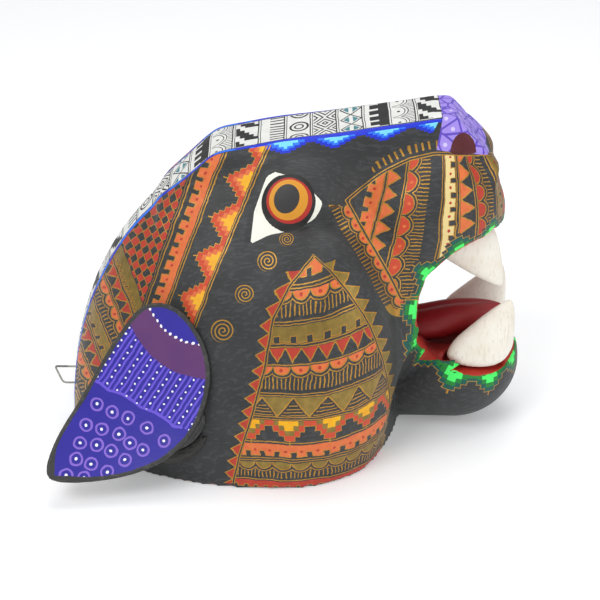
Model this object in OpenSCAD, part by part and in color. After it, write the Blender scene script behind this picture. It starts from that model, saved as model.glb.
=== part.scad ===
// Carved wooden big cat mask that lies on its open rim, with its muzzle along +X.
// The head is one carved block. Ears, fangs and tongue are carved apart and glued in.

/* [Head] */
// Length from the back of the skull to the front of the chin
head_l = 289; // [230:1:350]
// Width across the jowls
head_w = 209; // [165:1:255]
// Height from the rim to the corner of the nose
head_h = 209; // [165:1:255]
// Thickness of the wall round the rim
wall = 17; // [12:0.5:24]
// Thickness of the crown above the hollow for the face
crown_t = 36; // [25:1:50]
// Width of the flat bridge that carries the painted stripe
bridge_w = 46; // [30:1:52]

/* [Mouth] */
// Radius of the hole from the mouth into the hollow
throat_r = 15; // [10:0.5:20]
// Depth of the fangs' and the tongue's roots in their sockets
root_depth = 9; // [6:0.5:12]
// Gap for the glue round a root
glue_gap = 0.15; // [0.05:0.05:0.4]
// Length of a lower fang's base, front to back
lower_fang_l = 40; // [30:0.5:44]
// Length of an upper fang's base, front to back
upper_fang_l = 38; // [30:0.5:42]
// Thickness of a fang's base, side to side
fang_t = 21; // [15:0.5:22]
// Width of the tongue at its root
tongue_w = 29; // [20:0.5:32]
// Thickness of the tongue at its root
tongue_t = 24; // [16:0.5:28]

/* [Ears] */
// Height of an ear along its face, from tip to top
ear_l = 126; // [100:1:155]
// Width of an ear across its face
ear_w = 70; // [56:1:86]
// Thickness of the ear's leaf
ear_t = 9; // [6:0.5:12]
// Depth of the hollow of the ear
ear_dish = 7; // [4:0.5:10]
// Radius of the dowel that pins an ear
dowel_r = 4; // [3:0.25:5]
// Gap round a dowel
dowel_gap = 0.05; // [0.02:0.01:0.1]

/* [Hanger] */
// Radius of the steel wire
wire_r = 0.7; // [0.5:0.05:1]
// Radius of the holes that the wire runs through
wire_hole_r = 1.1; // [1:0.05:1.6]
// Distance between the two holes
wire_gap = 22; // [16:1:40]
// Height of the holes above the rim
wire_z = 24; // [18:1:50]
// How far the loop's point stands behind the skull
wire_out = 13; // [12:0.5:20]
// How far the wire can slide each way
wire_play = 5; // [3:0.5:5]

/* [Hidden] */

// Size of the form that the masses below are given for, and the scale to the head
form = [289, 209, 209];
k = [head_l / form.x, head_w / form.y, head_h / form.z];

// Point inside the form that every ray starts from
core = [-20, 0, 0];
// How softly the masses run into each other
melt = 6;
// How fast a mass fades beside its own outline
fade = 5;
// Half axes of the skull: to the front, to the back, sideways and up
skull = [84, 128, 101, 181];
// Each mass is a centre, three half axes and the lift of its front end in degrees
chin = [[99, 0, 39], [42, 43, 39], 0];
lip = [[92, 7, 142], [35, 31, 33], 20];
whisker_pad = [[76, 21, 148], [47, 34, 39], 32];
mouth_root = [[50, 0, 92], [44, 56, 68], 0];
jowl = [[6, 50, 56], [52, 54, 96], -8];
cheek = [[44, 24, 122], [36, 32, 42], 30];
brow = [[-2, 24, 155], [38, 26, 31], 10];
// The bridge is cut by planes: each is a normal and a point
bridge = [
    [[-0.168, 0, 1], [90, 0, 210.5]],
    [[0.79, 0, 0.61], [104.5, 0, 195]],
    [[0, 1, 0.25], [0, bridge_w / 2 / k.y, 200]],
    [[-1, 0, 0.9], [-60, 0, 178]],
    [[-1, 0, 0], [-85, 0, 0]],
    [[0.9, 0, -0.44], [106, 0, 150]]
];
bridge_melt = 2.5;

function total(v) = v * [for (x = v) 1];
function soft_max(v, s) = let (m = max(v)) m + s * ln(total([for (x = v) exp((x - m) / s)]));
function soft_min(v, s) = -soft_max(-v, s);
function unit(v) = v / norm(v);
function fold(d) = [d.x, abs(d.y), d.z];
function by_axis(a, b) = [a.x * b.x, a.y * b.y, a.z * b.z];

// Distance from the core to the far side of the skull, a mass or the bridge, along d
function skull_reach(d) = let (a = d.x > 0 ? skull[0] : skull[1])
    1 / norm([d.x / a, d.y / skull[2], d.z / skull[3]]);
function in_mass(v, m) = let (c = cos(m[2]), s = sin(m[2]))
    [(v.x * c + v.z * s) / m[1].x, v.y / m[1].y, (v.z * c - v.x * s) / m[1].z];
function mass_reach(d, m) =
    let (u = in_mass(d, m), w = in_mass(m[0] - core, m), a = u * u, b = u * w)
    let (q = (b * b - a * (w * w - 1)) / a)
    q > 0 ? (b + sqrt(a * q)) / a : max(b / a * exp(q * fade), 0);
function plane_reach(d, p) = let (n = unit(p[0]), f = n * d)
    f > 0.001 ? min(n * (p[1] - core) / f, 1000) : 1000;
function bridge_reach(d) = soft_min([for (p = bridge) plane_reach(d, p)], bridge_melt);
function head_reach(d) = let (f = fold(d)) soft_max([
    skull_reach(d), bridge_reach(f), mass_reach(f, whisker_pad), mass_reach(f, lip),
    mass_reach(d, chin), mass_reach(d, mouth_root), mass_reach(f, jowl), mass_reach(f, cheek),
    mass_reach(f, brow)
], melt);

// Directions over the half space above the rim: a goes front to back, b goes right to left
function ray(a, b) = [cos(a) * cos(b), sin(b), sin(a) * cos(b)];
// The rays lie closer together near the middle, where the bridge and the muzzle are
function sideways(t) = 90 * (0.55 * t + 0.45 * t * t * t);

// A closed dome of rays, with one point at each side and a flat underside
function dome_faces(n, m) = let (row = m - 1, right = (n + 1) * row, left = right + 1) concat(
    [for (i = [0 : n - 1], j = [0 : row - 2], t = [0, 1]) let (p = i * row + j)
        t == 0 ? [p, p + row, p + 1] : [p + 1, p + row, p + row + 1]],
    [for (i = [0 : n - 1]) [right, (i + 1) * row, i * row]],
    [for (i = [0 : n - 1]) [left, i * row + row - 1, (i + 1) * row + row - 1]],
    [concat([right], [for (j = [0 : row - 1]) j], [left],
            [for (j = [row - 1 : -1 : 0]) n * row + j])]);

module dome(n, m, reach) {
    rays = concat([for (i = [0 : n], j = [1 : m - 1]) ray(180 * i / n, sideways(2 * j / m - 1))],
                  [[0, -1, 0], [0, 1, 0]]);
    polyhedron([for (d = rays) by_axis(core + d * reach(d), k)], dome_faces(n, m));
}

module head_block() {
    dome(70, 46, function (d) head_reach(d));
}

// The hollow for the face follows the skull, one wall inside it
hollow = [skull[0] - wall / k.x, skull[1] - wall / k.x, skull[2] - wall / k.y, skull[3] - crown_t / k.z];
function hollow_reach(d) = let (a = d.x > 0 ? hollow[0] : hollow[1])
    1 / norm([d.x / a, d.y / hollow[2], d.z / hollow[3]]);
module face_hollow() {
    dome(32, 18, function (d) hollow_reach(d));
}

// Smooth line through points, with n steps between two of them
function knot(p, i) = p[max(0, min(len(p) - 1, i))];
function between(a, b, c, d, t) =
    0.5 * (2 * b + (c - a) * t + (2 * a - 5 * b + 4 * c - d) * t * t + (3 * b - a - 3 * c + d) * t * t * t);
function smooth(p, n) = concat([for (i = [0 : len(p) - 2], t = [0 : n - 1])
    between(knot(p, i - 1), p[i], p[i + 1], knot(p, i + 2), t / n)], [p[len(p) - 1]]);
function smooth_ring(p, n) = let (c = len(p)) [for (i = [0 : c - 1], t = [0 : n - 1])
    between(p[(i + c - 1) % c], p[i], p[(i + 1) % c], p[(i + 2) % c], t / n)];

// Lips seen from the side: from the front of the upper lip round the corner to the lower lip
lip_line = [[150, 147], [127, 140], [110, 138], [96, 133], [81, 121.5], [73, 105], [71, 87],
            [72.5, 71], [79, 59], [91, 50], [107, 45.5], [123, 44.5], [135, 49], [152, 58]];
lip_ends = [[form.x, lip_line[13].y], [form.x, lip_line[0].y]];

module oval(c, r) {
    translate(c) scale(r) sphere(1, $fn = 24);
}

// The gap between the lips and the back of the mouth, less the gum that the lower fangs stand on
gum = [[101, 0, 40], [37, 41, 16]];
module mouth_cut() {
    scale(k) difference() {
        union() {
            rotate([90, 0, 0]) linear_extrude(form.y, center = true)
                polygon(concat(smooth(lip_line, 3), lip_ends));
            oval([72, 0, 84], [14, 38, 26]);
        }
        translate(gum[0]) scale(gum[1]) cylinder(r1 = 1, r2 = 0.8, h = 1, $fn = 32);
    }
    scale(k) {
        oval([95, 0, 54], [26, 17, 18]);
        oval([92, 0, 126], [26, 15, 16]);
    }
}

throat_z = 100 * k.z;
module throat() {
    translate([0, 0, throat_z]) rotate([0, 90, 0]) cylinder(r = throat_r, h = 82 * k.x, $fn = 32);
}

// A tapering body: each ring is a centre, a half axis along e and one along +Y, and it ends in a tip
function loft_faces(rings, sides) = concat(
    [[for (s = [sides - 1 : -1 : 0]) s]],
    [for (r = [0 : rings - 2], s = [0 : sides - 1], t = [0, 1]) let (a = r * sides, n = (s + 1) % sides)
        t == 0 ? [a + s, a + n, a + sides + s] : [a + n, a + sides + n, a + sides + s]],
    [for (s = [0 : sides - 1]) let (a = (rings - 1) * sides) [a + s, a + (s + 1) % sides, rings * sides]]);
module loft(rings, e, tip, sides) {
    polyhedron(concat([for (r = rings, s = [0 : sides - 1]) let (a = 360 * s / sides)
        r[0] + unit(e) * r[1] * cos(a) + [0, 1, 0] * r[2] * sin(a)], [tip]),
        [for (f = loft_faces(len(rings), sides)) [for (i = [len(f) - 1 : -1 : 0]) f[i]]]);
}

// Fangs: foot and tip in the form, and the way the foot runs along the lip
lower_fang = [[115, -28, 60.5], [131, -27, 92], [1, 0.12, -0.15]];
upper_fang = [[103, -25, 129.5], [125, -25, 100], [1, 0.12, 0.4]];
fang_steps = [0, 0.15, 0.3, 0.45, 0.6, 0.75, 0.87, 0.95];
function fang_swell(t) = pow(1 - t, 0.72);

// With grow it is the socket: wider than the root by grow all round, and as deep
module fang(f, length, depth, grow) {
    foot = by_axis(f[0], k);
    tip = by_axis(f[1], k);
    a = length / 2 + grow;
    b = (fang_t / 2 + grow) * sign(tip.z - foot.z);
    loft(concat([[foot - unit(tip - foot) * depth, a, b]],
                [for (t = fang_steps) [foot + (tip - foot) * t, a * fang_swell(t), b * fang_swell(t)]]),
         f[2], tip, 16);
}
// The lower roots go down through the gum
gum_depth = 7;
module lower(grow) {
    fang(lower_fang, lower_fang_l, root_depth + gum_depth, grow);
}
module upper(grow) {
    fang(upper_fang, upper_fang_l, root_depth, grow);
}

// Tongue: places along its middle, with shares of its thickness and its width
tongue_line = [[58, 61, 0.8, 1], [72, 61.5, 0.85, 1.08], [86, 63.3, 1, 1.08], [99, 66, 1, 0.98],
               [111, 69.5, 0.72, 0.78], [121, 72.6, 0.42, 0.5], [128, 74, 0.16, 0.22]];
tongue_tip = [131, 0, 74];
module tongue_body(grow) {
    rings = [for (p = tongue_line) [by_axis([p[0], 0, p[1]], k), tongue_t / 2 * p[2] + grow, tongue_w / 2 * p[3] + grow]];
    loft(concat([[rings[0][0] - [root_depth, 0, 0], rings[0][1], rings[0][2]]], rings),
         [0, 0, -1], by_axis(tongue_tip, k), 20);
}

// Ear: the way its face looks, its lean, and where it stands on the skull
ear_face = unit([-0.05, -0.885, 0.46]);
ear_up = unit(cross(ear_face, [1, 0, 0]));
ear_right = cross(ear_up, ear_face);
ear_lean = 56;
ear_x = ear_right * cos(ear_lean) + ear_up * sin(ear_lean);
ear_y = cross(ear_face, ear_x);
ear_foot = [-95, 43];
ear_stand = 25;
ear_outline = [[-0.5, 0.28], [-0.36, 0.43], [-0.1, 0.47], [0.2, 0.5], [0.42, 0.45], [0.5, 0.2],
               [0.43, -0.16], [0.28, -0.39], [0.06, -0.49], [-0.16, -0.4], [-0.36, -0.11]];
function skull_side(x, z) = let (u = x - core.x, a = u > 0 ? skull[0] : skull[1])
    skull[2] * sqrt(1 - pow(u / a, 2) - pow(z / skull[3], 2));
ear_at = by_axis([ear_foot.x, -skull_side(ear_foot.x, ear_foot.y), ear_foot.y], k) + ear_face * ear_stand;
// The root under the ear's leaf, and where the skull lies below it
root_at = [0.06 * ear_l, -0.2 * ear_w];
root_r = 0.34 * ear_w;
root_centre = ear_at + ear_x * root_at.x + ear_y * root_at.y;
function skull_below(p, n) =
    let (r = [skull[1] * k.x, skull[2] * k.y, skull[3] * k.z], c = by_axis(core, k))
    let (u = [for (i = [0 : 2]) -n[i] / r[i]], w = [for (i = [0 : 2]) (p[i] - c[i]) / r[i]])
    let (a = u * u, b = u * w) (-b - sqrt(b * b - a * (w * w - 1))) / a;
root_drop = skull_below(root_centre, ear_face);
dish_r = (pow(ear_w * 0.7, 2) + ear_dish * ear_dish) / 2 / ear_dish;
dowel_in_head = wall - 5;
// The dowel stops short of the ear's hollow by this much
dowel_stop = 3;
dowel_top = -ear_dish - dowel_stop;

// The ear's own frame: X from tip to top, Z out of its face
module in_ear() {
    multmatrix([[ear_x.x, ear_y.x, ear_face.x, ear_at.x],
                [ear_x.y, ear_y.y, ear_face.y, ear_at.y],
                [ear_x.z, ear_y.z, ear_face.z, ear_at.z]]) children();
}

module ear_dowel_at(gap) {
    in_ear() translate([root_at.x, root_at.y, -root_drop - dowel_in_head])
        cylinder(r = dowel_r + gap, h = root_drop + dowel_in_head + dowel_top, $fn = 32);
}

module ear_blank() {
    in_ear() difference() {
        union() {
            intersection() {
                translate([0, 0, -60]) linear_extrude(90)
                    polygon(smooth_ring([for (p = ear_outline) [p.x * ear_l, p.y * ear_w]], 4));
                translate([0, 0, dish_r - ear_dish]) sphere(dish_r + ear_t, $fn = 96);
            }
            translate([root_at.x, root_at.y, -root_drop - 20])
                cylinder(r = root_r, h = root_drop + 20 - ear_dish - ear_t / 2, $fn = 48);
        }
        translate([0, 0, dish_r - ear_dish]) sphere(dish_r, $fn = 96);
    }
}

module ear_body() {
    difference() {
        ear_blank();
        head_block();
        ear_dowel_at(dowel_gap);
    }
}

// Bead of glue and sawdust in the corner between the ear's root and the skull
bead_r = root_r + 9;
bead_sink = 14;
// Gap for the glue round the ear's root
bead_fit = 0.1;
module ear_bead() {
    resize([0, 0, 0]) difference() {
        in_ear() translate([root_at.x, root_at.y, -root_drop - bead_sink]) difference() {
            intersection() {
                sphere(bead_r, $fn = 72);
                cylinder(r = bead_r, h = root_drop + bead_sink - ear_dish - ear_t, $fn = 72);
            }
            translate([0, 0, -1]) cylinder(r = root_r + bead_fit, h = 2 * bead_r, $fn = 72);
        }
        head_block();
    }
}

// Hanging wire: a loop through two holes in the back wall, its ends crossed inside
wire_y = wire_gap / 2;
function back_at(y, z, h) = (core.x - h[1] * sqrt(1 - pow(y / k.y / h[2], 2) - pow(z / k.z / h[3], 2))) * k.x;
hole_out = back_at(wire_y, wire_z, skull);
hole_in = back_at(wire_y, wire_z, hollow);
wire_tip_x = back_at(0, wire_z, skull) - wire_out;
wire_bend = hole_out - wire_play - 2 * wire_r - 1;
wire_end = back_at(wire_y, wire_z, hollow) + wire_play + 2 * wire_r + 1;
wire_cross = 6;
wire_rise = 6;
wire_knots = [
    [wire_end, -wire_cross, wire_z + wire_r + 0.1], [wire_end, wire_y, wire_z], [wire_bend, wire_y, wire_z],
    [wire_tip_x, 0, wire_z + wire_rise],
    [wire_bend, -wire_y, wire_z], [wire_end, -wire_y, wire_z], [wire_end, wire_cross, wire_z - wire_r - 0.1]
];
bend_t = 2.5;
function bent(p, i) = let (a = unit(p[i - 1] - p[i]) * bend_t, b = unit(p[i + 1] - p[i]) * bend_t)
    [for (t = [0 : 0.25 : 1]) p[i] + a * (1 - t) * (1 - t) + b * t * t];
wire_path = concat([wire_knots[0]], [for (i = [1 : len(wire_knots) - 2]) each bent(wire_knots, i)],
                   [wire_knots[len(wire_knots) - 1]]);
module tube(p, r, sides) {
    n = len(p);
    rings = [for (i = [0 : n - 1])
        let (t = unit(p[min(i + 1, n - 1)] - p[max(i - 1, 0)]), u = unit(cross([0, 0, 1], t)), v = cross(t, u))
        for (s = [0 : sides - 1]) p[i] + (u * cos(360 * s / sides) + v * sin(360 * s / sides)) * r];
    faces = concat([[for (s = [0 : sides - 1]) s]],
        [for (i = [0 : n - 2], s = [0 : sides - 1]) let (a = i * sides, c = (s + 1) % sides)
            [a + s, a + sides + s, a + sides + c, a + c]],
        [[for (s = [sides - 1 : -1 : 0]) (n - 1) * sides + s]]);
    polyhedron(rings, faces);
}

// The origin lies under the middle of the whole length, wire to chin
mid_x = ((chin[0].x + chin[1].x) * k.x + wire_tip_x - wire_r) / 2;
module placed() {
    translate([-mid_x, 0, 0]) children();
}
module left() {
    mirror([0, 1, 0]) children();
}

module head_shell() {
    // A resize by nothing keeps the carved block one surface
    color([0.22, 0.22, 0.21]) placed() resize([0, 0, 0]) difference() {
        head_block();
        face_hollow();
        mouth_cut();
        throat();
        for (side = [0, 1]) mirror([0, side, 0]) {
            lower(glue_gap);
            upper(glue_gap);
            ear_dowel_at(dowel_gap);
            translate([hole_out - 10, wire_y, wire_z]) rotate([0, 90, 0])
                cylinder(r = wire_hole_r, h = wall * 2 + 10, $fn = 24);
        }
        tongue_body(glue_gap);
    }
}
module right_ear() {
    color([0.22, 0.17, 0.6]) placed() ear_body();
}
module left_ear() {
    color([0.22, 0.17, 0.6]) placed() left() ear_body();
}
module ear_dowels() {
    color([0.78, 0.62, 0.42]) placed() {
        ear_dowel_at(0);
        left() ear_dowel_at(0);
    }
}
module right_ear_filler() {
    color([0.13, 0.13, 0.13]) placed() ear_bead();
}
module left_ear_filler() {
    color([0.13, 0.13, 0.13]) placed() left() ear_bead();
}
module upper_right_fang() {
    color([0.95, 0.93, 0.87]) placed() upper(0);
}
module upper_left_fang() {
    color([0.95, 0.93, 0.87]) placed() left() upper(0);
}
module lower_right_fang() {
    color([0.95, 0.93, 0.87]) placed() lower(0);
}
module lower_left_fang() {
    color([0.95, 0.93, 0.87]) placed() left() lower(0);
}
module tongue() {
    color([0.65, 0.1, 0.1]) placed() tongue_body(0);
}
module hanging_wire() {
    color([0.7, 0.7, 0.72]) placed() tube(wire_path, wire_r, 8);
}

head_shell();
right_ear();
left_ear();
ear_dowels();
right_ear_filler();
left_ear_filler();
upper_right_fang();
upper_left_fang();
lower_right_fang();
lower_left_fang();
tongue();
hanging_wire();
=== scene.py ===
# %% [markdown]
# # A carved and painted big cat mask
# The real mask is one light wooden block, carved as a roaring cat's head and hollowed for a face.
# Ears, fangs and tongue are carved apart and glued in, and the whole is painted with fine patterns.
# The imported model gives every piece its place, so this lesson only builds shape and finish round it.

import math

import bpy
import numpy as np
from mathutils import Matrix, Vector


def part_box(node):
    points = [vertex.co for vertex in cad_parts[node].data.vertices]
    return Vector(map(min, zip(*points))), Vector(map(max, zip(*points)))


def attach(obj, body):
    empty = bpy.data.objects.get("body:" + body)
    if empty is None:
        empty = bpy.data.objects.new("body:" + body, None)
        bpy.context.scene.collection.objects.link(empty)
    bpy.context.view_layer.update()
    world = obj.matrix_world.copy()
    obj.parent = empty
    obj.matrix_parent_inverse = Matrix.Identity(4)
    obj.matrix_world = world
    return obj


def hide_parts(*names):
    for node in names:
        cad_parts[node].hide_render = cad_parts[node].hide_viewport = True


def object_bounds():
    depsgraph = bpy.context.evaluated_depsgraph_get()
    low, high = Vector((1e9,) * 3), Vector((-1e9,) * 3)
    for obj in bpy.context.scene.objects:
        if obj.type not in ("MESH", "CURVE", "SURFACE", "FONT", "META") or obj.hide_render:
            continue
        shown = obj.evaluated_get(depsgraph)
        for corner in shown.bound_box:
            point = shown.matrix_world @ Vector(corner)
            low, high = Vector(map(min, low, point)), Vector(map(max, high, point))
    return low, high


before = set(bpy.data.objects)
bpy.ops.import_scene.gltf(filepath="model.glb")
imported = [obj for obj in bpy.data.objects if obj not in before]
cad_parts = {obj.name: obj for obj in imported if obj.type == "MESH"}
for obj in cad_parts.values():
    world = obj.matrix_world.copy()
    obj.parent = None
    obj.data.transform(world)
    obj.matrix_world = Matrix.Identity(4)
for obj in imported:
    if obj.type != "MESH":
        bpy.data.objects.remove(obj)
cad_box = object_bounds()

# %% [markdown]
# The carving is described in millimetres in its own frame, where the skull's middle is 20 mm behind
# the origin. One number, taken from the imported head's box, shifts it to the model's frame.

# %% Measures shared by all the pieces
MM = 0.001
CHIN_FRONT = 141.0
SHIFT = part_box("head_shell")[1].x / MM - CHIN_FRONT
CORE = np.array([-20.0, 0.0, 0.0])
rng = np.random.default_rng(7)
print("carving shifted by", round(SHIFT, 2), "mm")


def to_form(co):
    """Model metres to millimetres of the carving."""
    return co / MM - np.array([SHIFT, 0, 0])


def to_model(points):
    return (points + np.array([SHIFT, 0, 0])) * MM


def unit(v):
    v = np.asarray(v, float)
    return v / np.linalg.norm(v, axis=-1, keepdims=True)


# %% Small helpers for selecting, copying and reading meshes
def only(piece):
    """Makes one object the selected and active one."""
    bpy.ops.object.select_all(action="DESELECT")
    piece.select_set(True)
    bpy.context.view_layer.objects.active = piece
    return piece


def smooth_shade(piece):
    only(piece)
    bpy.ops.object.shade_smooth()


def on_whole_mesh(piece, work, **settings):
    """Runs one edit-mode tool on every face of a mesh."""
    only(piece)
    bpy.ops.object.mode_set(mode="EDIT")
    bpy.ops.mesh.select_all(action="SELECT")
    work(**settings)
    bpy.ops.object.mode_set(mode="OBJECT")


def points_of(piece):
    co = np.zeros(len(piece.data.vertices) * 3)
    piece.data.vertices.foreach_get("co", co)
    return co.reshape(-1, 3)


def set_points(piece, co):
    piece.data.vertices.foreach_set("co", co.astype(np.float32).ravel())
    piece.data.update()


def apply(piece, kind, **settings):
    """Adds a modifier and applies it."""
    only(piece)
    modifier = piece.modifiers.new(kind.title(), kind)
    for key, value in settings.items():
        setattr(modifier, key, value)
    bpy.ops.object.modifier_apply(modifier=modifier.name)


def merged_copy(node, name):
    """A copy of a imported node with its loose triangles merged."""
    piece = bpy.data.objects.new(name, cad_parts[node].data.copy())
    piece.data.name = name
    bpy.context.scene.collection.objects.link(piece)
    piece.data.materials.clear()
    on_whole_mesh(piece, bpy.ops.mesh.remove_doubles, threshold=0.00002)
    return piece


def give(piece, name, values):
    """Stores three numbers on every point, for the paint to read."""
    layer = piece.data.attributes.new(name, "FLOAT_VECTOR", "POINT")
    layer.data.foreach_set("vector", np.stack(values, 1).astype(np.float32).ravel())


def report(piece):
    low, high = points_of(piece).min(0) / MM, points_of(piece).max(0) / MM
    print(piece.name, len(piece.data.polygons), "faces", np.round(high - low, 1), "mm")


# %% [markdown]
# ## Camera, floor and light
# A long lens from 26 degrees above shows the head's right side.
# A pale floor and big soft lights keep the shadows faint, so that the paint does the talking.

# %% Camera
RISE = math.radians(26)
DISTANCE = 1100.0
LOOK = 78.0
target = Vector((SHIFT * MM, 0, LOOK * MM))
eye_point = target + Vector((0, -math.cos(RISE), math.sin(RISE))) * DISTANCE * MM
camera_data = bpy.data.cameras.new("camera")
camera_data.lens = 103.125
camera_data.sensor_width = 36
camera = bpy.data.objects.new("camera", camera_data)
bpy.context.scene.collection.objects.link(camera)
camera.location = eye_point
camera.rotation_euler = (target - eye_point).to_track_quat("-Z", "Y").to_euler()
bpy.context.scene.camera = camera
print("camera at", [round(c, 3) for c in eye_point])

# %% Floor and soft light
bpy.ops.object.select_all(action="DESELECT")
bpy.ops.mesh.primitive_plane_add(size=6, location=(0, 0, -0.0003))
floor = bpy.context.active_object
floor.name = "floor"
floor_paint = bpy.data.materials.new("pale_floor")
floor_paint.use_nodes = True
floor_shader = floor_paint.node_tree.nodes["Principled BSDF"]
floor_shader.inputs["Base Color"].default_value = (0.93, 0.94, 0.96, 1)
floor_shader.inputs["Roughness"].default_value = 0.6
floor_shader.inputs["Emission Color"].default_value = (1, 1, 1, 1)
floor_shader.inputs["Emission Strength"].default_value = 0.2
floor.data.materials.append(floor_paint)

world = bpy.data.worlds.new("studio")
world.use_nodes = True
world.node_tree.nodes["Background"].inputs["Color"].default_value = (1, 1, 1, 1)
world.node_tree.nodes["Background"].inputs["Strength"].default_value = 0.52
bpy.context.scene.world = world
bpy.context.scene.view_settings.view_transform = "Standard"


def soft_light(name, place, aim, size, power):
    data = bpy.data.lights.new(name, "AREA")
    data.shape = "DISK"
    data.size = size
    data.energy = power
    lamp = bpy.data.objects.new(name, data)
    bpy.context.scene.collection.objects.link(lamp)
    lamp.location = place
    lamp.rotation_euler = (Vector(aim) - Vector(place)).to_track_quat("-Z", "Y").to_euler()


soft_light("key_light", (-0.7, -1.0, 1.4), (0, 0, 0.1), 0.9, 11)
soft_light("fill_light", (1.2, -0.9, 0.7), (0, 0, 0.1), 0.9, 5)
soft_light("top_light", (0.1, 0.3, 1.6), (0, 0, 0.1), 1.2, 8)
print("floor and three soft lights")

# %% [markdown]
# ## Shader sums as Python
# Painted patterns are sums: a tooth is "t is less than the height of a triangle wave". One small
# class lets a node's socket be used in such sums, and one paint box adds every other node.

# %% A socket that can be added, multiplied and compared
class Mark:
    """A node's socket that can stand in a sum."""

    def __init__(self, box, socket):
        self.box = box
        self.socket = socket

    def __rsub__(self, other):
        return self.box.sum("SUBTRACT", other, self)

    def __abs__(self):
        return self.box.sum("ABSOLUTE", self)

    def __neg__(self):
        return self.box.sum("MULTIPLY", self, -1.0)


def operator(kind):
    return lambda mark, other: mark.box.sum(kind, mark, other)


OPERATORS = {"add": "ADD", "radd": "ADD", "sub": "SUBTRACT", "mul": "MULTIPLY", "rmul": "MULTIPLY",
             "truediv": "DIVIDE", "lt": "LESS_THAN", "gt": "GREATER_THAN", "pow": "POWER"}
for short, kind in OPERATORS.items():
    setattr(Mark, f"__{short}__", operator(kind))
print("marks know", len(OPERATORS) + 3, "operators")


# %% The paint box: one material, its nodes and its pigments
class PaintBox:
    def __init__(self, name):
        self.material = bpy.data.materials.new(name)
        self.material.use_nodes = True
        self.tree = self.material.node_tree
        self.shader = self.tree.nodes["Principled BSDF"]
        self.inks = {}
        self.kept = {}

    def node(self, kind, settings=None, values=None, out=0):
        """Any node: its settings first, then the values or links of its sockets."""
        made = self.tree.nodes.new(kind)
        for key, value in (settings or {}).items():
            if key == "stops":
                ramp = made.color_ramp
                for i, (place, colour) in enumerate(value):
                    stop = ramp.elements[i] if i < 2 else ramp.elements.new(place)
                    stop.position = place
                    stop.color = colour
            else:
                setattr(made, key, value)
        for key, value in (values or {}).items():
            if isinstance(value, Mark):
                self.tree.links.new(value.socket, made.inputs[key])
            else:
                made.inputs[key].default_value = value
        return Mark(self, made.outputs[out])

    def sum(self, operation, *terms):
        return self.node("ShaderNodeMath", {"operation": operation}, dict(enumerate(terms)))

    def read(self, name):
        """The three numbers stored on the points, each as a mark."""
        if name not in self.kept:
            vector = self.node("ShaderNodeAttribute", {"attribute_name": name}, out=1)
            self.kept[name] = self.parts(vector)
        return self.kept[name]

    def parts(self, vector):
        split = self.node("ShaderNodeSeparateXYZ", None, {0: vector})
        sockets = split.socket.node.outputs
        return [Mark(self, sockets[i]) for i in range(3)]

    def place(self):
        if "place" not in self.kept:
            self.kept["place"] = self.node("ShaderNodeTexCoord", out=3)
        return self.kept["place"]

    def noise(self, scale, detail=2.0, out=0, stretch=None):
        vector = self.place()
        if stretch:
            vector = self.node("ShaderNodeMapping", None, {0: vector, 3: stretch})
        values = {"Vector": vector, "Scale": scale, "Detail": detail}
        return self.node("ShaderNodeTexNoise", None, values, out)

    def blend(self, factor, low, high):
        """One colour over another."""
        values = {0: factor, 6: low, 7: high}
        return self.node("ShaderNodeMix", {"data_type": "RGBA"}, values, 2)

    def lay(self, ink, mask):
        """Adds a shape to what is painted in that ink."""
        self.inks[ink] = self.most(self.inks[ink], mask) if ink in self.inks else mask

    def most(self, a, b):
        return self.sum("MAXIMUM", a, b)

    def least(self, a, b):
        return self.sum("MINIMUM", a, b)

    def fraction(self, a):
        return self.sum("FRACT", a)

    def length(self, a, b):
        return self.sum("SQRT", a * a + b * b)

    def socket(self, name, value):
        if isinstance(value, Mark):
            self.tree.links.new(value.socket, self.shader.inputs[name])
        else:
            self.shader.inputs[name].default_value = value

    def relief(self, height, distance, strength=1.0):
        values = {"Height": height, "Distance": distance, "Strength": strength}
        self.socket("Normal", self.node("ShaderNodeBump", None, values))


def ink(red, green, blue):
    """A colour as it is read off a screen, made linear for the shader."""
    linear = [((c / 255 + 0.055) / 1.055) ** 2.4 if c > 10 else c / 255 / 12.92 for c in (red, green, blue)]
    return (*linear, 1.0)


INKS = {
    "gold": ink(196, 150, 62),
    "leaf": ink(160, 134, 66),
    "cream": ink(226, 204, 138),
    "red": ink(196, 62, 38),
    "ember": ink(190, 56, 34),
    "orange": ink(226, 128, 60),
    "yellow": ink(240, 190, 30),
    "white": ink(243, 243, 236),
    "black": ink(24, 24, 25),
    "teal": ink(70, 130, 140),
    "blue_deep": ink(14, 44, 205),
    "blue": ink(40, 130, 245),
    "blue_pale": ink(120, 215, 255),
    "green_deep": ink(0, 84, 74),
    "green": ink(22, 140, 48),
    "green_pale": ink(70, 245, 105),
    "mouth": ink(186, 48, 34),
    # the darker mouth red below is painted shade, laid where the mouth goes deep
    "mouth_painted_shade": ink(112, 20, 20),
    "purple": ink(96, 72, 190),
    "lavender": ink(160, 138, 228),
    "nostril": ink(84, 22, 30),
}
print(len(INKS), "inks")

# %% [markdown]
# ## The painter's motifs
# Every band of the painting repeats one of a few motifs: teeth, scallops with lashes, battlements and
# stepped pyramids. Each is a function of u, the way along the band, and t, the way across it, both in
# millimetres, so the same motif fits any band on any part of the head.

# %% Lines, teeth and battlements
def line(b, x, half=0.36):
    return abs(x) < half


def pair(b, x, gap=0.85, half=0.32):
    return abs(abs(x) - gap) < half


def wave(b, u, pitch):
    """A triangle wave: 1 where u is a whole number of pitches, 0 between."""
    return abs(b.fraction(u / pitch) * 2 - 1)


def teeth(b, where, u, t, pitch, height, fill, edge="gold"):
    rise = wave(b, u, pitch) * height
    inside = where * (t > 0)
    b.lay(fill, inside * (t < rise))
    b.lay(edge, inside * (abs(t - rise) < 0.5 + height / pitch * 0.25))


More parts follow.
